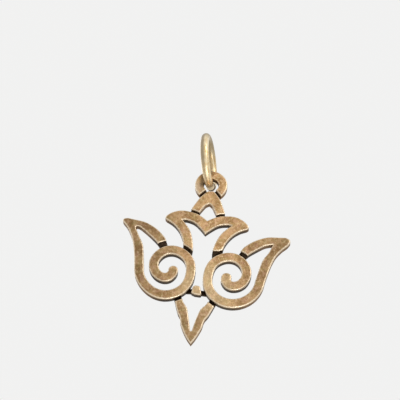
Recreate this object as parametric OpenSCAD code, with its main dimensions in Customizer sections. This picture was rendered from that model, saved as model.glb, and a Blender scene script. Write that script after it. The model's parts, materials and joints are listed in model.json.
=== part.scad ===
// Dove charm: a pierced scrollwork dove that flies down, hung from a round-wire jump ring.
// The charm hangs in the XZ plane with its face towards -Y. The origin is the inside top of the jump ring.
// Outlines are drawn flat, with x to the right, y up and zero on the charm's middle line, level with the
// middle of the eyelet's hole.

/* [Charm] */
// Thickness of the sheet that every stroke is cut from
sheet_t = 0.8; // [0.5:0.05:1.2]
// Width of a scroll's stroke
stroke_w = 1.0; // [0.8:0.05:1.15]
// Width of the groove between the strokes of the tail, and at the sides of the breast drop
seam_gap = 0.27; // [0.15:0.01:0.4]
// Width of the groove where the tail and the head end against a scroll
scroll_seam = 0.38; // [0.2:0.02:0.5]
// Depth of the grooves below the face
seam_depth = 0.38; // [0.2:0.02:0.45]

/* [Wings] */
// Width of the channel between the two scrolls
scroll_apart = 0.82; // [0.6:0.02:1.2]
// Distance from the eyelet's hole down to the centre of a scroll
scroll_drop = 10.75; // [10.5:0.05:11]
// Radius of a scroll's outer turn, along the middle of the stroke
scroll_r = 2.98; // [2.8:0.02:3.1]
// Distance from the scroll's centre out to the wing tip
wing_reach = 5.6; // [5.2:0.05:6.2]
// Distance from the scroll's centre up to the top of the wing
wing_rise = 5.55; // [5.2:0.05:6]
// Width of the groove where the left wing's top stroke ends against its scroll
left_seam = 0.6; // [0.3:0.02:0.7]
// Width of the groove where the right wing's top stroke ends against its scroll
right_seam = 0.46; // [0.3:0.02:0.7]

/* [Tail] */
// Half of the width across the tail feather pair
tail_half_w = 4.42; // [4:0.02:4.8]
// Height of the tail feather pair from its crown to the ends of its legs
tail_h = 4.4; // [4.1:0.05:4.8]
// Distance from the eyelet's hole down to the crown of the pair
tail_drop = 3.5; // [3.3:0.05:3.7]
// Half of the width across the feet of the centre feather
centre_half_w = 1.74; // [1.5:0.05:2]

/* [Head] */
// Half of the width across the top of the head
head_half_w = 2; // [1.8:0.05:2.2]
// Distance from the scrolls' centres down to the beak's tip
head_drop = 7.75; // [7:0.05:8.5]
// How far the beak's tip bends to the right of the middle line
beak_off = 0.26; // [0:0.02:0.5]
// Height of the breast drop
drop_h = 0.9; // [0.8:0.02:1.1]

/* [Eyelet and jump ring] */
// Diameter of the eyelet's hole
hole_d = 1.6; // [1.5:0.05:1.8]
// Width of the eyelet's rim
rim_w = 0.92; // [0.7:0.02:1.1]
// How far the eyelet stands to the left of the charm's middle line
eyelet_off = 0.25; // [0:0.05:0.4]
// Diameter of the jump ring's wire
wire_d = 0.88; // [0.8:0.02:1]
// Outer diameter of the jump ring
ring_d = 6.3; // [5.8:0.1:7]
// Clearance between the ring's wire and the top of the hole
ring_clearance = 0.04; // [0.03:0.01:0.1]
// How far the ring sits towards the charm's face
ring_forward = 0.4; // [0:0.05:0.6]
// Lean of the ring away from the charm's middle line, in degrees
ring_lean = 9; // [0:0.5:20]
// Turn of the ring about its long way, in degrees
ring_turn = 10; // [0:0.5:15]
// How far round the hole, to the left of its top, the ring's wire lies, in degrees
wire_round = 45; // [0:5:60]

/* [Hidden] */

// Points in each span of a smooth run, and the turn between two points of a scroll in degrees
run_steps = 7;
turn_step = 5;
cap_steps = 10;
bore_steps = 96;
// Height of the land that joins a stroke's end to the next stroke under the groove
land_t = sheet_t - seam_depth;
// How far a land runs into a stroke of its own piece, and how far cuts run past what they cut
fused_lap = 0.15;
overrun = 0.5;

// A scroll winds from its curl to its outer side, from -180 to 360 degrees.
// Each share is the radius along the middle of the stroke, one for each eighth of a turn.
turn_from = -180;
turn_to = 360;
eighth = 45;
turn_shares = [0.188, 0.195, 0.25, 0.33, 0.465, 0.655, 0.825, 0.85, 0.795, 0.86, 0.925, 0.965, 1];
// Angle at which a scroll comes nearest to the other one, and the small turn that gives a stroke's direction
near_turn = 180;
turn_probe = 1;
// How far the curl's round end reaches past the start of its turns
curl_reach = 0.15;

// Points of a wing as shares of its reach and rise, from the scroll's centre. The left tip is the slimmer.
right_outer_shares = [[0.653, 0.177], [0.705, 0.41], [0.768, 0.585], [0.862, 0.728], [0.952, 0.825],
                     [0.997, 0.905]];
right_tip_shares = [[0.997, 0.905], [0.98, 0.962], [0.905, 0.998]];
right_under_shares = [[0.165, 0.4], [0.257, 0.535], [0.414, 0.672], [0.548, 0.771], [0.682, 0.815]];
right_inner_shares = [[0.682, 0.815], [0.625, 0.64], [0.536, 0.474], [0.493, 0.297], [0.464, 0.13]];
left_outer_shares = [[0.65, 0.177], [0.702, 0.41], [0.757, 0.585], [0.83, 0.728], [0.892, 0.82],
                     [0.965, 0.895]];
left_tip_shares = [[0.965, 0.895], [0.99, 0.935], [0.972, 0.975], [0.905, 0.998]];
left_under_shares = [[0.165, 0.4], [0.257, 0.535], [0.414, 0.672], [0.548, 0.772], [0.65, 0.838],
                     [0.708, 0.85]];
left_inner_shares = [[0.708, 0.85], [0.724, 0.812], [0.688, 0.742], [0.625, 0.632], [0.536, 0.474],
                     [0.493, 0.297], [0.464, 0.13]];
wing_top_shares = [[0.905, 0.998], [0.777, 0.984], [0.557, 0.953], [0.343, 0.85], [0.182, 0.712],
                   [0.118, 0.62], [0.03, 0.43]];
wing_lap_share = [0.9, 0.88];

// Points of the tail feather pair's right half as shares of its half width and height, from its crown
pair_crown_shares = [[0, -0.2], [0.134, -0.109], [0.29, -0.038], [0.515, 0], [0.694, -0.014],
                     [0.86, -0.086], [0.972, -0.182]];
pair_tip_shares = [[0.972, -0.182], [1, -0.252], [0.962, -0.3]];
pair_leg_shares = [[0.962, -0.3], [0.805, -0.382], [0.66, -0.511], [0.548, -0.682], [0.474, -0.886],
                   [0.47, -1.14]];
pair_inner_shares = [[0.25, -1.22], [0.23, -1], [0.268, -0.773], [0.358, -0.534], [0.47, -0.38],
                     [0.588, -0.255]];
pair_under_shares = [[0.588, -0.255], [0.474, -0.243], [0.291, -0.295], [0.134, -0.42], [0, -0.555]];
// The right leg's face ends sooner than the left one's, above this outline.
pair_trim_shares = [[0.2, -0.94], [0.262, -0.985], [0.4, -0.965], [0.55, -0.9], [0.55, -1.25], [0.2, -1.25]];

// Points of the centre feather's right half as shares of its half width and of the hole's height,
// from the crown of the feather pair
centre_outer_shares = [[0, 0.79], [0.17, 0.775], [0.38, 0.675], [0.615, 0.525], [0.816, 0.325],
                       [1, 0.12], [1.12, -0.14]];
centre_inner_shares = [[0.66, -0.22], [0.483, 0.02], [0.33, 0.16], [0.19, 0.275], [0, 0.345]];

// Points of the head's right half as shares of its half width and height, from the beak's tip
head_outer_shares = [[0, 0], [0.225, 0.136], [0.475, 0.346], [0.71, 0.608], [0.965, 0.88], [1.2, 1.17]];
head_inner_shares = [[0.86, 1.22], [0.6, 0.96], [0.425, 0.86], [0.315, 0.786], [0.175, 0.566],
                     [0.055, 0.35], [0, 0.318]];

// Place of the breast drop's top below the scrolls' centres, as a share of their radius
drop_place_share = 0.46;
// Points of the breast drop's right half as shares of its height, from its top
drop_shares = [[0, 0], [0.22, -0.01], [0.36, -0.14], [0.57, -0.74], [0.55, -0.94], [0.42, -1], [0, -1]];
drop_land_shares = [[-1.4, -0.3], [1.4, -0.3], [1.4, -0.8], [-1.4, -0.8]];

scroll_x = scroll_apart / 2 + stroke_w / 2 + scroll_r * turn_share(near_turn);
scroll_c = [scroll_x, -scroll_drop];
crown_at = [0, -tail_drop];
// The centre feather stands between the eyelet and the middle line.
centre_off = eyelet_off / 2;
pair_off = eyelet_off / 5;
head_h = head_drop - scroll_r;
head_at = [0, -scroll_drop - head_drop];
drop_at = [0, -scroll_drop - drop_place_share * scroll_r];

// The ring's middle lies straight in line between its inside top and the hole.
ring_in_r = ring_d / 2 - wire_d;
ring_way = [-sin(ring_lean), 0, cos(ring_lean)];
ring_at = -ring_in_r * ring_way;
sheet_back = ring_forward + sheet_t / 2;
// Where the sheet's back meets the ring: how far the wire's inner side and its middle lie from the ring's
// middle, and how far that leaves the wire from the middle of the hole
inner_back = sqrt(pow(ring_in_r, 2) - pow(sheet_back, 2));
wire_back = sqrt(pow(ring_in_r + wire_d / 2, 2) - pow(sheet_back, 2));
wire_play = hole_d / 2 - ring_clearance - (wire_back - inner_back);
wire_way = [-sin(ring_lean + wire_round), 0, cos(ring_lean + wire_round)];
hole_at = ring_at - wire_back * ring_way - wire_play * wire_way;

// One point of a smooth curve between the second and third of four points
function curve_point(a, b, c, d, t) =
    (2 * b + (c - a) * t + (2 * a - 5 * b + 4 * c - d) * t * t + (3 * b - a - 3 * c + d) * t * t * t) / 2;
// A smooth run through a list of points, without its last point
function smooth_run(p) = let (last = len(p) - 1) [
    for (i = [0 : last - 1], k = [0 : run_steps - 1])
        curve_point(i > 0 ? p[i - 1] : 2 * p[0] - p[1], p[i], p[i + 1],
                    i < last - 1 ? p[i + 2] : 2 * p[last] - p[last - 1], k / run_steps)];
function placed(shares, w, h, at) = [for (s = shares) at + [s.x * w, s.y * h]];
function run_of(shares, w, h, at) = smooth_run(placed(shares, w, h, at));
function end_of(shares, w, h, at) = [placed(shares, w, h, at)[len(shares) - 1]];
// A closed outline from its right half, which starts and ends on the middle line
function both_halves(half) = concat(half, [for (i = [len(half) - 2 : -1 : 1]) [-half[i].x, half[i].y]]);
// A run that goes clockwise, moved outwards by a margin
function grown(p, margin) = [for (i = [0 : len(p) - 1])
    let (d = p[min(i + 1, len(p) - 1)] - p[max(i - 1, 0)]) p[i] + margin * [-d.y, d.x] / norm(d)];

// The middle of a scroll's stroke at an angle, from the scroll's centre
function turn_share(angle) =
    let (s = turn_shares, last = len(s) - 1, u = (angle - turn_from) / eighth, i = min(floor(u), last - 1))
    curve_point(s[max(i - 1, 0)], s[i], s[i + 1], i < last - 1 ? s[i + 2] : 2 * s[last] - s[last - 1], u - i);
function turn_point(angle) = scroll_r * turn_share(angle) * [cos(angle), sin(angle)];
function turn_way(angle) =
    let (a = min(angle, turn_to - turn_probe), d = turn_point(a + turn_probe) - turn_point(a)) d / norm(d);
// A point beside the middle of the stroke, outwards where side is above zero
function turn_side(angle, side) = let (d = turn_way(angle)) turn_point(angle) + side * [d.y, -d.x];
function turn_run(from, to, side) = let (n = round(abs(to - from) / turn_step))
    [for (i = [0 : n]) turn_side(from + (to - from) * i / n, side)];
// The round end of the curl, from the inner side of the stroke to its outer side
function curl_end() = let (way = turn_way(turn_from), middle = turn_point(turn_from) - curl_reach * way)
    [for (i = [0 : cap_steps]) let (a = 180 * i / cap_steps)
        middle - stroke_w / 2 * (cos(a) * [way.y, -way.x] + sin(a) * way)];

// A wing from its curl round the scroll and up to its tip
function wing_body(outer, tip, inner) = let (w = wing_reach, h = wing_rise, side = stroke_w / 2) concat(
    turn_run(turn_to, turn_from, -side), curl_end(), turn_run(turn_from, turn_to - turn_step, side),
    smooth_run(concat([turn_side(turn_to, side)], placed(outer, w, h, [0, 0]))),
    run_of(tip, w, h, [0, 0]), end_of(tip, w, h, [0, 0]),
    run_of(inner, w, h, [0, 0]), end_of(inner, w, h, [0, 0]));
// A wing's top stroke, from its tip back down into the scroll
function wing_top(under) = let (w = wing_reach, h = wing_rise) concat(
    run_of(wing_top_shares, w, h, [0, 0]), end_of(wing_top_shares, w, h, [0, 0]),
    run_of(under, w, h, [0, 0]), end_of(under, w, h, [0, 0]),
    placed([wing_lap_share], w, h, [0, 0]));
// All that the scroll's outer turn goes round, grown by a margin
function scroll_field(margin) = turn_run(turn_to - 360, turn_to - turn_step, stroke_w / 2 + margin);
function pair_outline() = both_halves(concat(
    run_of(pair_crown_shares, tail_half_w, tail_h, crown_at),
    run_of(pair_tip_shares, tail_half_w, tail_h, crown_at),
    run_of(pair_leg_shares, tail_half_w, tail_h, crown_at),
    end_of(pair_leg_shares, tail_half_w, tail_h, crown_at),
    run_of(pair_inner_shares, tail_half_w, tail_h, crown_at),
    run_of(pair_under_shares, tail_half_w, tail_h, crown_at),
    end_of(pair_under_shares, tail_half_w, tail_h, crown_at)));
function centre_edge() = concat(
    run_of(centre_outer_shares, centre_half_w, tail_drop, crown_at),
    end_of(centre_outer_shares, centre_half_w, tail_drop, crown_at));
function centre_outline() = both_halves(concat(
    centre_edge(),
    run_of(centre_inner_shares, centre_half_w, tail_drop, crown_at),
    end_of(centre_inner_shares, centre_half_w, tail_drop, crown_at)));
// An outline whose low end bends to the right, as the beak's does
function bent(p) = [for (q = p) [q.x + beak_off * pow(max(1 - (q.y - head_at.y) / head_h, 0), 3), q.y]];
function head_outline() = bent(both_halves(concat(
    run_of(head_outer_shares, head_half_w, head_h, head_at),
    end_of(head_outer_shares, head_half_w, head_h, head_at),
    run_of(head_inner_shares, head_half_w, head_h, head_at),
    end_of(head_inner_shares, head_half_w, head_h, head_at))));
function drop_outline() = both_halves(concat(
    run_of(drop_shares, drop_h, drop_h, drop_at), end_of(drop_shares, drop_h, drop_h, drop_at)));

// Both scrolls' fields, grown by a margin
module scroll_fields(margin) {
    for (side = [0, 1])
        mirror([side, 0, 0]) translate(scroll_c) polygon(scroll_field(margin));
}
// All that the centre feather's outer edge goes round, grown by a margin
module centre_field(margin) {
    translate([-centre_off, 0]) polygon(both_halves(grown(centre_edge(), margin)));
}
module pair_field(margin) {
    translate([-pair_off, margin]) polygon(pair_outline());
}
module pair_trim() {
    translate([-pair_off, 0]) polygon(placed(pair_trim_shares, tail_half_w, tail_h, crown_at));
}
// A stroke that ends against others: its outline, the others' outlines, and the same with the groove
module lapped() {
    difference() {
        linear_extrude(sheet_t) children(0);
        translate([0, 0, -overrun]) linear_extrude(sheet_t + 2 * overrun) children(1);
        translate([0, 0, land_t]) linear_extrude(sheet_t) children(2);
    }
}
// The charm's flat drawing, stood up with its back to +Y
module hung() {
    translate(hole_at + [eyelet_off, sheet_back, 0]) rotate([90, 0, 0]) children();
}
module hole() {
    translate([-eyelet_off, 0, -overrun]) cylinder(h = sheet_t + 2 * overrun, d = hole_d, $fn = bore_steps);
}

module wing(outer, tip, under, inner, seam) {
    translate(scroll_c) {
        linear_extrude(sheet_t) polygon(wing_body(outer, tip, inner));
        lapped() {
            polygon(wing_top(under));
            polygon(scroll_field(-fused_lap));
            polygon(scroll_field(seam));
        }
    }
}
module left_wing() {
    color("peru") hung() mirror([1, 0, 0])
        wing(left_outer_shares, left_tip_shares, left_under_shares, left_inner_shares, left_seam);
}
module right_wing() {
    color("burlywood") hung()
        wing(right_outer_shares, right_tip_shares, right_under_shares, right_inner_shares, right_seam);
}
module tail_feather_pair() {
    color("sandybrown") hung() lapped() {
        pair_field(0);
        scroll_fields(0);
        union() {
            scroll_fields(scroll_seam);
            pair_trim();
        }
    }
}
module centre_tail_feather() {
    color("tan") hung() difference() {
        lapped() {
            translate([-centre_off, 0]) polygon(centre_outline());
            pair_field(0);
            pair_field(seam_gap);
        }
        hole();
    }
}
module breast_drop() {
    color("wheat") hung() {
        lapped() {
            polygon(drop_outline());
            scroll_fields(0);
            scroll_fields(seam_gap);
        }
        difference() {
            linear_extrude(land_t) polygon(placed(drop_land_shares, drop_h, drop_h, drop_at));
            translate([0, 0, -overrun]) linear_extrude(sheet_t + 2 * overrun) scroll_fields(0);
        }
    }
}
module head() {
    color("goldenrod") hung() lapped() {
        polygon(head_outline());
        scroll_fields(0);
        scroll_fields(scroll_seam);
    }
}
module eyelet() {
    color("darkgoldenrod") hung() difference() {
        translate([-eyelet_off, 0, 0]) cylinder(h = sheet_t, r = hole_d / 2 + rim_w, $fn = bore_steps);
        hole();
        translate([0, 0, -overrun]) linear_extrude(sheet_t + 2 * overrun) centre_field(0);
        translate([0, 0, land_t]) linear_extrude(sheet_t) centre_field(seam_gap);
    }
}
module jump_ring() {
    color("silver") translate(ring_at) rotate([0, -ring_lean, 0]) rotate([0, 0, -ring_turn])
        rotate([0, 90, 0]) rotate_extrude($fn = bore_steps)
            translate([ring_d / 2 - wire_d / 2, 0]) circle(d = wire_d, $fn = bore_steps);
}

jump_ring();
eyelet();
centre_tail_feather();
tail_feather_pair();
left_wing();
right_wing();
breast_drop();
head();
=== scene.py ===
import json
import math

import bmesh
import bpy
import numpy as np
from mathutils import Matrix, Vector, geometry


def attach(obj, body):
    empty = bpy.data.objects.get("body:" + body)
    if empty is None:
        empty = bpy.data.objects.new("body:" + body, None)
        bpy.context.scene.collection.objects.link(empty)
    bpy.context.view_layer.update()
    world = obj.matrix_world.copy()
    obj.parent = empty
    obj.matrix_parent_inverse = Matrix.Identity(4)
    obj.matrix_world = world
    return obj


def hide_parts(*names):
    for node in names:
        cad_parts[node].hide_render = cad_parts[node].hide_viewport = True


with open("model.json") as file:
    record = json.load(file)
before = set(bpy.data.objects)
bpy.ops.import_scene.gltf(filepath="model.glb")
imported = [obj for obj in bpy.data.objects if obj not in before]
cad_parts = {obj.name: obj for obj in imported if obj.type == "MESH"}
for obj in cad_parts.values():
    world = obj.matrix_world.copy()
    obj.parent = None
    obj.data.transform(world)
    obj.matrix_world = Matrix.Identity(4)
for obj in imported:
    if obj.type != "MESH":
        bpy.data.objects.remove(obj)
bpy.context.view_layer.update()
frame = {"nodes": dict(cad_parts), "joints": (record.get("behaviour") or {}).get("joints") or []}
MM = 0.001

# Sizes of the charm that the dressed pieces are built on, as in the CAD source. Here and below, a
# length that isn't multiplied by MM is in millimetres.
SHEET_T = 0.8
SEAM_DEPTH = 0.38
WIRE_D = 0.88
RING_D = 6.3
RING_LEAN = math.radians(9)
RING_TURN = math.radians(10)
CHARM = ["eyelet", "centre_tail_feather", "tail_feather_pair", "left_wing", "right_wing",
         "breast_drop", "head"]

# Levels of the charm, which hangs in the plane of x and z with its face towards -y, and the radii of
# the rims of its face and back
hole = Vector(frame["joints"][0]["pos_m"])
FACE_Y = hole.y - SHEET_T * MM / 2
BACK_Y = FACE_Y + SHEET_T * MM
LAND_Y = FACE_Y + SEAM_DEPTH * MM
FACE_ROUND = 0.13 * MM
BACK_ROUND = 0.06 * MM
# Levels on a wall where rubbing and its painted highlight end, and where its dark tone, patina with
# painted shade, is full
RUB_AND_HIGHLIGHT_Y = FACE_Y + 0.17 * MM
DARK_Y = FACE_Y + 0.28 * MM

# Camera: the photograph's view, 30 degrees below the face's normal, with the charm rolled 8.2 degrees
TILT = math.radians(30)
ROLL = math.radians(8.2)
FOCAL_PX = 1318.67
FRAME_PX = 400
PX_PER_MM = 9.45
AIM_FROM_HOLE = Vector((-0.914, 0, -2.043))
SENSOR = 36
CLIP_NEAR = 5 * MM
CLIP_FAR = 5000 * MM


def place_camera():
    """The photograph's camera, aimed at a spot on the charm's face"""
    right = Vector((math.cos(ROLL), 0, math.sin(ROLL)))
    rise = Vector((-math.sin(ROLL), 0, math.cos(ROLL)))
    ahead = rise * math.sin(TILT) + Vector((0, 1, 0)) * math.cos(TILT)
    up = rise * math.cos(TILT) - Vector((0, 1, 0)) * math.sin(TILT)
    aim = Vector((hole.x, FACE_Y, hole.z)) + AIM_FROM_HOLE * MM
    reach = FOCAL_PX / PX_PER_MM * MM
    data = bpy.data.cameras.new("camera")
    data.sensor_width = SENSOR
    data.lens = FOCAL_PX / FRAME_PX * data.sensor_width
    data.clip_start = CLIP_NEAR
    data.clip_end = CLIP_FAR
    camera = bpy.data.objects.new("camera", data)
    facing = Matrix((right, up, -ahead)).transposed()
    camera.matrix_world = Matrix.Translation(aim - ahead * reach) @ facing.to_4x4()
    bpy.context.scene.collection.objects.link(camera)
    bpy.context.scene.camera = camera


place_camera()


class Look:
    """The node tree of a material or the world, with short ways to add the nodes that are used here.
    A value that a way takes is a number, a colour or another node's output."""

    def __init__(self, owner):
        owner.use_nodes = True
        self.nodes = owner.node_tree.nodes
        self.links = owner.node_tree.links

    def feed(self, socket, value):
        """Joins an output to a socket, or sets the socket to a plain value"""
        if isinstance(value, bpy.types.NodeSocket):
            self.links.new(value, socket)
        else:
            socket.default_value = value

    def fill(self, node, values):
        """Gives the named inputs of a node their values"""
        for name, value in values.items():
            self.feed(node.inputs[name], value)

    def mark(self, name):
        """What a mesh says of itself at a point, such as how worn and painted pale its rim is or how far
        down a wall
        """
        made = self.nodes.new("ShaderNodeAttribute")
        made.attribute_name = name
        return made.outputs["Fac"]

    def math(self, kind, a, b=0.0, clamp=False):
        """A calculation with one value or two"""
        made = self.nodes.new("ShaderNodeMath")
        made.operation = kind
        made.use_clamp = clamp
        self.feed(made.inputs[0], a)
        self.feed(made.inputs[1], b)
        return made.outputs[0]

    def plus(self, a, b):
        return self.math("ADD", a, b)

    def minus(self, a, b):
        return self.math("SUBTRACT", a, b)

    def times(self, a, b):
        return self.math("MULTIPLY", a, b)

    def spread(self, value, start, full, low=0.0, high=1.0):
        """A smooth step from low, where the value is at start, to high, where it is at full"""
        made = self.nodes.new("ShaderNodeMapRange")
        made.interpolation_type = "SMOOTHSTEP"
        for i, number in enumerate((value, start, full, low, high)):
            self.feed(made.inputs[i], number)
        return made.outputs[0]

    def between(self, value, start, full, full_end, end):
        """One from full to full_end, fading smoothly to zero at start and at end"""
        return self.times(self.spread(value, start, full), self.spread(value, end, full_end))

    def noise(self, where, scale, detail, rough, warp=0.0):
        """Soft noise from 0 to 1, with so many blotches to a millimetre"""
        made = self.nodes.new("ShaderNodeTexNoise")
        self.fill(made, {"Vector": where, "Scale": scale, "Detail": detail, "Roughness": rough,
                         "Distortion": warp})
        return made.outputs["Fac"]

    def sway(self, noise, size):
        """A noise that sways about zero"""
        return self.times(self.minus(noise, 0.5), size)

    def vector(self, kind, a, values, output=0):
        """A calculation with a vector a and other named or numbered inputs"""
        made = self.nodes.new("ShaderNodeVectorMath")
        made.operation = kind
        self.feed(made.inputs[0], a)
        self.fill(made, values)
        return made.outputs[output]

    def in_millimetres(self):
        """The place on the piece at rest, in millimetres"""
        coord = self.nodes.new("ShaderNodeTexCoord")
        return self.vector("SCALE", coord.outputs["Object"], {"Scale": 1 / MM})

    def axes(self, where):
        """A place's x, y and z"""
        made = self.nodes.new("ShaderNodeSeparateXYZ")
        self.feed(made.inputs[0], where)
        return made.outputs

    def mix(self, share, a, b, kind="MIX"):
        """A mix of two colours, with b's share"""
        made = self.nodes.new("ShaderNodeMix")
        made.data_type = "RGBA"
        made.blend_type = kind
        for i, value in ((0, share), (6, a), (7, b)):
            self.feed(made.inputs[i], value)
        return made.outputs[2]

    def layers(self, colour, rows):
        """A colour with others laid over it in turn. Each row has the value that places a layer, what
        that is where the layer starts and where it is full, the layer's share there, and its colour."""
        for value, start, full, share, tint in rows:
            colour = self.mix(self.spread(value, start, full, 0, share), colour, tint)
        return colour

    def bump(self, height, strength, depth):
        """A normal that leans with a height"""
        made = self.nodes.new("ShaderNodeBump")
        self.fill(made, {"Height": height, "Strength": strength, "Distance": depth * MM})
        return made.outputs["Normal"]


# Colours of the charm's cast metal
DEEP_TAN = (0.36, 0.20, 0.078, 1)
TAN = (0.58, 0.36, 0.17, 1)
ROSY = (0.60, 0.345, 0.215, 1)
OLIVE = (0.42, 0.305, 0.115, 1)
DUST = (0.76, 0.555, 0.325, 1)
STAIN = (0.24, 0.13, 0.052, 1)
FLECK = (0.80, 0.62, 0.40, 1)
PIT = (0.17, 0.095, 0.04, 1)
# A patch of painted light on the face, and a painted highlight on the eyelet's end
PAINTED_LIGHT_PATCH = (0.72, 0.58, 0.35, 1)
PAINTED_END_HIGHLIGHT = (0.90, 0.72, 0.50, 1)
# Rubbed rims, paler also as a painted highlight
RUBBED_AND_HIGHLIT = (0.80, 0.66, 0.48, 1)
# The painted shadow of the ring's wire on the eyelet
RING_SHADOW = (0.15, 0.10, 0.052, 1)
# The darkest and the lightest tone of walls in the openings, of outer walls, and of grooves: dark patina
# with painted shade, which makes the walls in the openings nearly black
RECESS_SHADE = (0.012, 0.008, 0.004, 1), (0.06, 0.036, 0.019, 1)
OUTER_PATINA_AND_SHADE = (0.10, 0.05, 0.02, 1), (0.31, 0.18, 0.08, 1)
GROOVE_PATINA_AND_SHADE = (0.02, 0.012, 0.007, 1), (0.07, 0.042, 0.022, 1)

# Places on the charm's face, from the hole
MIDLINE_X = 1.2
CHARM_MIDDLE = (0.4, 0, -9.5)
RIGHT_SCROLL = (1.0, 0, -12.2)
EYELET_LEFT = (-1.7, 0, -0.6)
# Where painted shade on the face starts and is fullest: how far from the midline, and how low
FALLOFF_ASIDE = 0.3, 7.6
FALLOFF_BELOW = -13.6, -16.5
# How bright the painted light down the midline makes the face
PAINTED_LIGHT_PEAK = 1.13
# How far from the charm's middle outer walls start to turn brown, and are brown, as they get less painted
# shade
OUTER_REACH = 5.6, 6.8
# Where the ring's painted shadow starts, is full, is full up to and ends, across the eyelet and up it
RING_SHADOW_ACROSS = -1.35, -1.0, -0.4, 0.2
RING_SHADOW_UP = -0.6, -0.1, 1.7, 2.2


def charm_metal():
    """Cast bronze-coloured metal: a mottled sandy face with painted light and shade, pale rubbed rims
    with a painted highlight, dark walls and grooves of patina with painted shade, and a painted shadow of
    the ring
    """
    mat = bpy.data.materials.new("charm_metal_cast")
    look = Look(mat)
    where = look.in_millimetres()
    broad = look.noise(where, scale=0.7, detail=2, rough=0.5, warp=0.4)
    blotch = look.noise(where, scale=1.5, detail=3, rough=0.6, warp=0.6)
    mottle = look.noise(where, scale=3.1, detail=4, rough=0.58, warp=0.1)
    grain = look.noise(where, scale=9, detail=3, rough=0.6)
    cast = look.layers(DEEP_TAN, [
        (broad, 0.40, 0.60, 1, TAN),
        (blotch, 0.50, 0.66, 0.6, ROSY),
        (blotch, 0.49, 0.33, 0.6, OLIVE),
        (mottle, 0.48, 0.70, 0.75, DUST),
        (mottle, 0.47, 0.30, 0.65, STAIN),
        (grain, 0.54, 0.70, 0.4, FLECK),
        (grain, 0.43, 0.29, 0.75, PIT),
    ])
    # Painted light and shade: the face is painted brightest down its middle, and darker towards the
    # wings' edges and the beak
    from_hole = look.vector("SUBTRACT", where, {1: hole / MM})
    x, _, z = look.axes(from_hole)
    aside = look.math("ABSOLUTE", look.minus(x, MIDLINE_X))
    painted_falloff = look.plus(look.spread(aside, *FALLOFF_ASIDE, high=0.44), look.spread(z, *FALLOFF_BELOW, high=0.4))
    shaded = look.mix(1.0, cast, look.minus(PAINTED_LIGHT_PEAK, painted_falloff), "MULTIPLY")
    # Painted light: a paler, yellower patch where the right scroll comes nearest to the left one, and a
    # painted highlight on the eyelet's pale end
    from_scroll, from_end, from_middle = (
        look.vector("DISTANCE", from_hole, {1: place}, "Value")
        for place in (RIGHT_SCROLL, EYELET_LEFT, CHARM_MIDDLE))
    face = look.layers(shaded, [
        (from_scroll, 4.2, 1.2, 0.4, PAINTED_LIGHT_PATCH),
        (from_end, 1.3, 0.5, 0.5, PAINTED_END_HIGHLIGHT),
    ])
    # Walls are painted nearly black in the openings, as painted shade where the narrow gaps shelter them,
    # and brown, patina with lighter painted shade, at the wings' outer edges and the beak
    outwards = look.spread(from_middle, *OUTER_REACH)
    wall_patina_and_shade = look.mix(outwards, look.mix(mottle, *RECESS_SHADE), look.mix(mottle, *OUTER_PATINA_AND_SHADE))
    wall = look.mark("wall")
    walled = look.mix(look.times(wall, 0.95), face, wall_patina_and_shade)
    # Groove floors are painted dark: patina with painted shade
    grooved = look.mix(look.mark("groove"), walled, look.mix(mottle, *GROOVE_PATINA_AND_SHADE))
    # Rims are rubbed unevenly and painted pale: partly real wear and partly a painted highlight
    wear_and_sheen = look.plus(look.mark("rim_wear_and_highlight"), look.sway(mottle, 0.8))
    rim_wear_and_sheen = look.spread(wear_and_sheen, 0.2, 0.75, high=0.95)
    edged = look.mix(rim_wear_and_sheen, grooved, RUBBED_AND_HIGHLIT)
    # A painted shadow of the ring's wire on the eyelet's left side
    shade_mask = look.times(look.between(x, *RING_SHADOW_ACROSS), look.between(z, *RING_SHADOW_UP))
    ring_shadowed = look.mix(look.times(shade_mask, 0.85), edged, RING_SHADOW)
    rough = look.plus(look.spread(grain, 0.3, 0.7, 0.38, 0.56), look.times(wall, 0.10))
    relief = look.plus(look.times(grain, 0.6), look.times(mottle, 1.2))
    look.fill(look.nodes["Principled BSDF"], {
        "Base Color": ring_shadowed,
        "Metallic": 0.8,
        "Roughness": look.minus(rough, look.times(rim_wear_and_sheen, 0.12)),
        "Normal": look.bump(relief, strength=0.8, depth=0.04),
    })
    return mat


# Colours of the ring's drawn wire
GOLD = (0.70, 0.50, 0.245, 1)
PALE_GOLD = (0.86, 0.71, 0.45, 1)
SILVER = (1.0, 0.92, 0.74, 1)
SCUFF = (0.36, 0.23, 0.10, 1)
# Painted shade on the wire: on its inner side, at its top, on its left flank and inside the hole
INNER_SHADE = (0.33, 0.19, 0.065, 1)
TOP_SHADE = (0.29, 0.23, 0.135, 1)
FLANK_SHADE = (0.34, 0.27, 0.185, 1)
HOLE_SHADE_TONE = (0.09, 0.055, 0.027, 1)

# Draw marks along the wire and round it, and heights where painted shade darkens its top and greys its
# flank
DRAW_MARKS = (5, 20, 1)
TOP_Z = -1.2, 0.5
FLANK_Z = -5.2, -3.2


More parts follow.
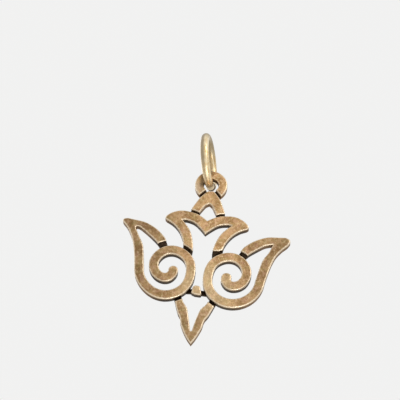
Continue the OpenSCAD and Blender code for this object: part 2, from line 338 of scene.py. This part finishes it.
def wire_metal():
    """Drawn round wire: paler and smoother than the charm, with faint draw marks along it"""
    mat = bpy.data.materials.new("ring_wire_drawn")
    look = Look(mat)
    where = look.in_millimetres()
    _, _, z = look.axes(where)
    along = look.nodes.new("ShaderNodeTexCoord").outputs["UV"]
    stretch = look.nodes.new("ShaderNodeMapping")
    look.fill(stretch, {"Vector": along, "Scale": DRAW_MARKS})
    marks = look.noise(stretch.outputs[0], scale=1.0, detail=4, rough=0.6)
    mottle = look.noise(where, scale=2.2, detail=3, rough=0.6, warp=0.5)
    grain = look.noise(where, scale=13, detail=3, rough=0.6)
    hole_shade = look.mark("hole_shade")
    # Painted shade: brown on the side towards the ring's middle, where the strands meet, and darker metal
    # at the ring's top
    shade_mask = look.plus(look.mark("inner"), look.sway(mottle, 0.8))
    drawn = look.layers(GOLD, [
        (mottle, 0.38, 0.62, 1, PALE_GOLD),
        (marks, 0.48, 0.66, 0.85, SILVER),
        (marks, 0.48, 0.3, 0.7, SCUFF),
        (shade_mask, 0.75, 1.1, 0.8, INNER_SHADE),
        (z, *TOP_Z, 0.9, TOP_SHADE),
    ])
    # Grey painted shade on the flank that faces left, fading out towards the eyelet
    flank_shade_mask = look.times(look.spread(look.mark("flank"), 0.2, 0.8), look.spread(z, *FLANK_Z, high=0.85))
    flank_shaded = look.mix(flank_shade_mask, drawn, FLANK_SHADE)
    relief = look.plus(look.times(marks, 0.7), look.times(grain, 0.35))
    look.fill(look.nodes["Principled BSDF"], {
        # In the hole the wire is painted dark, less metallic and rougher, as painted shade
        "Base Color": look.mix(look.times(hole_shade, 0.95), flank_shaded, HOLE_SHADE_TONE),
        "Metallic": look.spread(hole_shade, 0, 1, 0.85, 0.1),
        "Roughness": look.plus(look.spread(grain, 0.3, 0.7, 0.33, 0.47), look.times(hole_shade, 0.5)),
        "Normal": look.bump(relief, strength=0.4, depth=0.02),
    })
    return mat


CAST = charm_metal()
DRAWN = wire_metal()

# Where handwork makes a stroke's edge wander: x and z of the spot from the hole, its radius, and the
# push there in x and z
HANDWORK = {
    "left_wing": [((-6.2, -13.6), 3.6, (0.1, 0.09))],
    "right_wing": [((3.05, -10.53), 0.9, (0.19, -0.09))],
    "head": [((-0.95, -15.8), 0.55, (0.11, 0.0)), ((0.3, -17.0), 0.5, (0.0, -0.14)),
             ((1.6, -15.9), 0.75, (-0.1, 0.05))],
    "breast_drop": [((0.2, -12.1), 0.6, (0.0, 0.11)), ((-0.10, -12.31), 0.45, (-0.09, 0.03)),
                    ((-0.22, -13.04), 0.4, (0.0, 0.1))],
}

# How the rounded rims are made: about how far apart the spots on an outline are, how far in from
# there the cap's points go and how far off that they may be, as shares of the rim's radius
RIM_STEP = 0.11
RIM_SHARES = (0.12, 0.35, 0.65, 1.0, 1.5)
RIM_SLACK_SHARE = 0.06
# An outline has a corner where its heading changes by more than this, and points fan out there
CORNER_COS = 0.95
CORNER_FAN = math.pi / 9
BATCH = 500
LEAST_LENGTH2 = 1e-12
CAP_MERGE = 1e-5

# How the meshes are read: vertices this near are one, a face is at a level or on the land within
# these, and it is flat where its normal is this close to the y axis
MERGE = 0.0005 * MM
LEVEL = 0.002 * MM
LAND_LEVEL = 0.02 * MM
FLAT_COS = 0.995
# Rubbing and its painted highlight reach this far in from an outline, on what lies in front of a level
# just behind the rim
WEAR_AND_HIGHLIGHT_REACH = 0.19
WEAR_AND_HIGHLIGHT_Y = FACE_Y + FACE_ROUND * 1.05
# Edges that bend more than this stay sharp
SHARP = math.radians(40)


class Outline:
    """The closed outlines of a cap, as loops of points in x and z"""

    def __init__(self, loops):
        self.starts = [p for loop in loops for p in loop]
        self.ends = [p for loop in loops for p in loop[1:] + loop[:1]]
        self.a = np.array(self.starts)
        self.b = np.array(self.ends)
        self.along = self.b - self.a
        self.length2 = np.maximum((self.along ** 2).sum(1), LEAST_LENGTH2)

    def distance(self, p):
        """How far each point is from the nearest outline"""
        t = np.clip(((p[:, None] - self.a) * self.along).sum(2) / self.length2, 0, 1)
        return np.sqrt(((self.a + self.along * t[..., None] - p[:, None]) ** 2).sum(2).min(1))

    def holds(self, p):
        """Whether each point is inside: a line from it to the right crosses an odd number of edges"""
        x, z = p[:, 0, None], p[:, 1, None]
        crossed = (self.a[:, 1] > z) != (self.b[:, 1] > z)
        climb = np.where(self.along[:, 1] == 0, 1, self.along[:, 1])
        at = self.a[:, 0] + (z - self.a[:, 1]) / climb * self.along[:, 0]
        return (crossed & (at > x)).sum(1) % 2 == 1

    def rays(self):
        """Spots on the outlines, and a unit way from each: both ways square to an edge, and all round
        at a corner. About half of them lead into the cap."""
        fan = [np.array((math.cos(t), math.sin(t))) for t in np.arange(0, 2 * math.pi, CORNER_FAN)]
        sizes = np.sqrt(self.length2)
        found = []
        heading = {}
        for start, end, step, size in zip(self.starts, self.ends, self.along, sizes):
            heading[end] = step / size
            square = np.array((-step[1], step[0])) / size
            count = max(1, int(size / RIM_STEP))
            spots = [np.array(start) + step * (k + 0.5) / count for k in range(count)]
            found += [(spot, way) for spot in spots + [np.array(start)] for way in (square, -square)]
        for start, step, size in zip(self.starts, self.along, sizes):
            if heading[start] @ step / size < CORNER_COS:
                found += [(np.array(start), way) for way in fan]
        return np.array([spot for spot, _ in found]), np.array([way for _, way in found])


def in_batches(ask, points):
    """Answers for many points, asked some at a time because each is set against every edge"""
    return np.concatenate([ask(some) for some in np.array_split(points, len(points) // BATCH + 1)])


def rounded_cap(loops, y, radius, inwards):
    """A flat cap whose rim is rounded over: its points and how far each is from the rim, in
    millimetres, and triangles of their indices. loops are the cap's outlines in x and z. The rim
    lies a radius below the cap's level, y."""
    outline = Outline(loops)
    points = list(outline.starts)
    edges = []
    for loop in loops:
        first = len(edges)
        edges += [(first + i, first + (i + 1) % len(loop)) for i in range(len(loop))]
    spots, ways = outline.rays()
    for share in RIM_SHARES:
        tried = spots + ways * radius * share
        gap = radius * share
        slack = radius * RIM_SLACK_SHARE
        good = in_batches(lambda p: outline.holds(p) & (abs(outline.distance(p) - gap) < slack), tried)
        points += [tuple(p) for p in tried[good]]
    flat_points = [Vector(p) for p in points]
    found, _, faces = geometry.delaunay_2d_cdt(flat_points, edges, [], 0, CAP_MERGE)[:3]
    flat = np.array([tuple(p) for p in found])
    far = in_batches(outline.distance, flat)
    drop = radius - np.sqrt(np.maximum(0, radius ** 2 - np.maximum(0, radius - far) ** 2))
    kept = in_batches(outline.holds, np.array([flat[list(f)].mean(0) for f in faces]))
    placed = [(x, y + low * inwards, z) for (x, z), low in zip(flat, drop)]
    return placed, far, [f for f, k in zip(faces, kept) if k]


def outlines(faces):
    """The closed outlines round a set of faces, as lists of vertices"""
    chosen = set(faces)
    follow = {}
    for f in faces:
        for loop in f.loops:
            if sum(g in chosen for g in loop.edge.link_faces) == 1:
                follow.setdefault(loop.vert, []).append(loop.link_loop_next.vert)
    loops = []
    while follow:
        loop = []
        at = next(iter(follow))
        while at in follow:
            loop.append(at)
            nexts = follow[at]
            to = nexts.pop()
            if not nexts:
                del follow[at]
            at = to
        loops.append(loop)
    return loops


def wander(bm, name):
    """Pushes a piece's outline where handwork makes it wander"""
    for (x, z), radius, (push_x, push_z) in HANDWORK.get(name, []):
        for v in bm.verts:
            away = math.hypot(v.co.x - hole.x - x * MM, v.co.z - hole.z - z * MM) / (radius * MM)
            share = max(0, 1 - away ** 2) ** 2
            v.co += Vector((push_x, 0, push_z)) * MM * share


def round_over(bm, y, radius, inwards):
    """Swaps a piece's flat faces at a level for a cap with a rounded rim"""
    cap = [f for f in bm.faces if all(abs(v.co.y - y) < LEVEL for v in f.verts)]
    loops = outlines(cap)
    flat = [[(v.co.x / MM, v.co.z / MM) for v in loop] for loop in loops]
    rim = {v for loop in loops for v in loop}
    bmesh.ops.delete(bm, geom=cap, context="FACES")
    for v in rim:
        v.co.y = y + radius * inwards
    points, far, faces = rounded_cap(flat, y / MM, radius / MM, inwards)
    from_edge = bm.verts.layers.float["from_edge"]
    verts = [bm.verts.new(Vector(p) * MM) for p in points]
    for v, d in zip(verts, far):
        v[from_edge] = d
    for f in faces:
        bm.faces.new([verts[i] for i in f])
    bmesh.ops.remove_doubles(bm, verts=bm.verts, dist=MERGE)


def mark_corners(mesh):
    """Marks a piece's corners: how worn and painted pale with a highlight at the face's rim, how far down
    a wall, and in a groove or not
    """
    marks = {key: [0.0] * len(mesh.loops) for key in ("rim_wear_and_highlight", "wall", "groove")}
    far = [0.0] * len(mesh.vertices)
    mesh.attributes["from_edge"].data.foreach_get("value", far)
    mesh.attributes.remove(mesh.attributes["from_edge"])
    for poly in mesh.polygons:
        facing = -poly.normal.y
        flat = abs(facing) > FLAT_COS
        for loop in poly.loop_indices:
            vert = mesh.loops[loop].vertex_index
            y = mesh.vertices[vert].co.y
            marks["rim_wear_and_highlight"][loop] = max(0, 1 - far[vert] / WEAR_AND_HIGHLIGHT_REACH) if y < WEAR_AND_HIGHLIGHT_Y else 0
            down = (y - FACE_Y - FACE_ROUND) / (DARK_Y - FACE_Y - FACE_ROUND)
            marks["wall"][loop] = 0 if flat else min(1, max(0, down))
            marks["groove"][loop] = 1 if flat and facing > 0 and abs(y - LAND_Y) < LAND_LEVEL else 0
    for key, values in marks.items():
        mesh.attributes.new(key, "FLOAT", "CORNER").data.foreach_set("value", values)


def softened(name):
    """A copy of a CAD piece with the edges of its face and back rounded over"""
    bm = bmesh.new()
    bm.from_mesh(frame["nodes"][name].data)
    bmesh.ops.remove_doubles(bm, verts=bm.verts, dist=MERGE)
    wander(bm, name)
    bm.verts.layers.float.new("from_edge")
    round_over(bm, FACE_Y, FACE_ROUND, 1)
    round_over(bm, BACK_Y, BACK_ROUND, -1)
    for y in (RUB_AND_HIGHLIGHT_Y, DARK_Y):
        bmesh.ops.bisect_plane(bm, geom=bm.verts[:] + bm.edges[:] + bm.faces[:], dist=LEVEL,
                               plane_co=(0, y, 0), plane_no=(0, 1, 0))
    bmesh.ops.recalc_face_normals(bm, faces=bm.faces)
    for face in bm.faces:
        face.smooth = True
    mesh = bpy.data.meshes.new(name + "_soft")
    bm.to_mesh(mesh)
    bm.free()
    mark_corners(mesh)
    mesh.set_sharp_from_angle(angle=SHARP)
    mesh.materials.append(CAST)
    piece = bpy.data.objects.new(name + "_cast", mesh)
    bpy.context.scene.collection.objects.link(piece)
    weighted = piece.modifiers.new("weighted", "WEIGHTED_NORMAL")
    weighted.keep_sharp = True
    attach(piece, "charm")
    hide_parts(name)


# The ring's steps along the wire and round it, and, as angles round the wire from the ring's outer side,
# the middles of its side with brown painted shade and of its flank with grey painted shade
AROUND = 192
ACROSS = 40
INNER_SHADE_MIDDLE = math.pi + 0.6
FLANK_MIDDLE = -0.6
# Where painted shade darkens the wire in the hole: how deep behind the charm's face it starts and ends
# and how far from the hole's middle, each with the width over which it fades
HOLE_SHADE_START = 0.6
HOLE_SHADE_START_FADE = 0.3
HOLE_SHADE_END = 1.7
HOLE_SHADE_REACH = 1.6
HOLE_SHADE_FADE = 0.5


def hole_shade_at(place):
    """How much painted shade the wire has at a place in the hole, from 0 to 1"""
    away = math.hypot(place.x - hole.x, place.z - hole.z) / MM
    deep = (place.y - FACE_Y) / MM
    return max(0, min(1, (deep - HOLE_SHADE_START) / HOLE_SHADE_START_FADE, (HOLE_SHADE_END - deep) / HOLE_SHADE_FADE,
                      (HOLE_SHADE_REACH - away) / HOLE_SHADE_FADE))


def ring():
    """The jump ring as one smooth closed torus of round wire"""
    mid = (RING_D - WIRE_D) / 2 * MM
    wire = WIRE_D / 2 * MM
    inside = RING_D / 2 * MM - WIRE_D * MM
    way = Vector((-math.sin(RING_LEAN), 0, math.cos(RING_LEAN)))
    stand = (Matrix.Rotation(-RING_LEAN, 3, "Y") @ Matrix.Rotation(-RING_TURN, 3, "Z")
             @ Matrix.Rotation(math.radians(90), 3, "Y"))
    turns = [2 * math.pi * i / AROUND for i in range(AROUND)]
    bends = [2 * math.pi * k / ACROSS for k in range(ACROSS)]
    bm = bmesh.new()
    uv = bm.loops.layers.uv.new("along")
    grid = []
    for a in turns:
        flat = [(mid + wire * math.cos(b), wire * math.sin(b)) for b in bends]
        spots = [Vector((r * math.cos(a), r * math.sin(a), height)) for r, height in flat]
        grid.append([bm.verts.new(stand @ spot - way * inside) for spot in spots])
    for i in range(AROUND):
        for k in range(ACROSS):
            j, m = (i + 1) % AROUND, (k + 1) % ACROSS
            face = bm.faces.new((grid[i][k], grid[j][k], grid[j][m], grid[i][m]))
            face.smooth = True
            for loop, (u, v) in zip(face.loops, ((i, k), (i + 1, k), (i + 1, k + 1), (i, k + 1))):
                loop[uv].uv = (u / AROUND, v / ACROSS)
    bmesh.ops.recalc_face_normals(bm, faces=bm.faces)
    mesh = bpy.data.meshes.new("ring_smooth")
    bm.to_mesh(mesh)
    bm.free()
    marks = {
        "inner": [max(0, math.cos(b - INNER_SHADE_MIDDLE)) for b in bends] * AROUND,
        "flank": [max(0, math.cos(b - FLANK_MIDDLE)) ** 4 for b in bends] * AROUND,
        "hole_shade": [hole_shade_at(v.co) for v in mesh.vertices],
    }
    for key, values in marks.items():
        mesh.attributes.new(key, "FLOAT", "POINT").data.foreach_set("value", values)
    mesh.materials.append(DRAWN)
    piece = bpy.data.objects.new("jump_ring_wire", mesh)
    bpy.context.scene.collection.objects.link(piece)
    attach(piece, "ring")
    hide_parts("jump_ring")


for name in CHARM:
    softened(name)
ring()

# The CAD nodes stay hidden, but carry the same materials
for name, obj in frame["nodes"].items():
    obj.data.materials.clear()
    obj.data.materials.append(DRAWN if name == "jump_ring" else CAST)

# Stage: a plain pale floor far below the hanging charm, a pale world, and soft lamps
PALE = (0.86, 0.86, 0.85, 1)
WORLD_PALE = (0.9, 0.9, 0.895, 1)
FLOOR_Z = -95 * MM
FLOOR_HALF = 1500 * MM
FLOOR_GLOW = 0.3
WORLD_LIGHT = 0.6
WORLD_SEEN = 0.98
LIT_PLACE = Vector((1, 0, -12)) * MM


def seen(look):
    """One where the camera or a reflection looks, and zero for the light that falls on things"""
    path = look.nodes.new("ShaderNodeLightPath")
    through = look.plus(path.outputs["Is Glossy Ray"], path.outputs["Is Transmission Ray"])
    return look.math("ADD", path.outputs["Is Camera Ray"], through, clamp=True)


def pale_floor():
    """The floor, which glows a little where it is looked at"""
    mat = bpy.data.materials.new("floor_pale")
    look = Look(mat)
    look.fill(look.nodes["Principled BSDF"], {
        "Base Color": PALE,
        "Roughness": 0.8,
        "Emission Color": PALE,
        "Emission Strength": look.times(seen(look), FLOOR_GLOW),
    })
    bm = bmesh.new()
    bmesh.ops.create_grid(bm, x_segments=2, y_segments=2, size=FLOOR_HALF)
    mesh = bpy.data.meshes.new("floor")
    bm.to_mesh(mesh)
    bm.free()
    mesh.materials.append(mat)
    floor = bpy.data.objects.new("floor", mesh)
    floor.location = (0, 0, FLOOR_Z)
    bpy.context.scene.collection.objects.link(floor)


def pale_world():
    """A pale world, brighter where it is looked at than in the light that it gives"""
    world = bpy.data.worlds.new("studio")
    bpy.context.scene.world = world
    look = Look(world)
    look.fill(look.nodes["Background"], {
        "Color": WORLD_PALE,
        "Strength": look.spread(seen(look), 0, 1, WORLD_LIGHT, WORLD_SEEN),
    })


def lamp(name, way, far, size, glow, colour=(1, 1, 1)):
    """A square soft lamp of a given radiance, seen from the charm along a direction"""
    data = bpy.data.lights.new(name, "AREA")
    data.shape = "SQUARE"
    data.size = size
    data.energy = glow * math.pi * size * size
    data.color = colour
    obj = bpy.data.objects.new(name, data)
    way = Vector(way).normalized()
    obj.location = LIT_PLACE + way * far
    obj.rotation_mode = "QUATERNION"
    obj.rotation_quaternion = way.to_track_quat("Z", "Y")
    obj.visible_camera = False
    bpy.context.scene.collection.objects.link(obj)


pale_floor()
pale_world()
lamp("key", way=(0.62, -0.62, 0.55), far=160 * MM, size=50 * MM, glow=9.0, colour=(1, 0.98, 0.94))
lamp("low", way=(0.42, -0.5, -0.82), far=90 * MM, size=45 * MM, glow=5.0)
lamp("back", way=(-0.5, 0.8, 0.45), far=180 * MM, size=90 * MM, glow=1.6)

bpy.context.scene.view_settings.view_transform = "Standard"
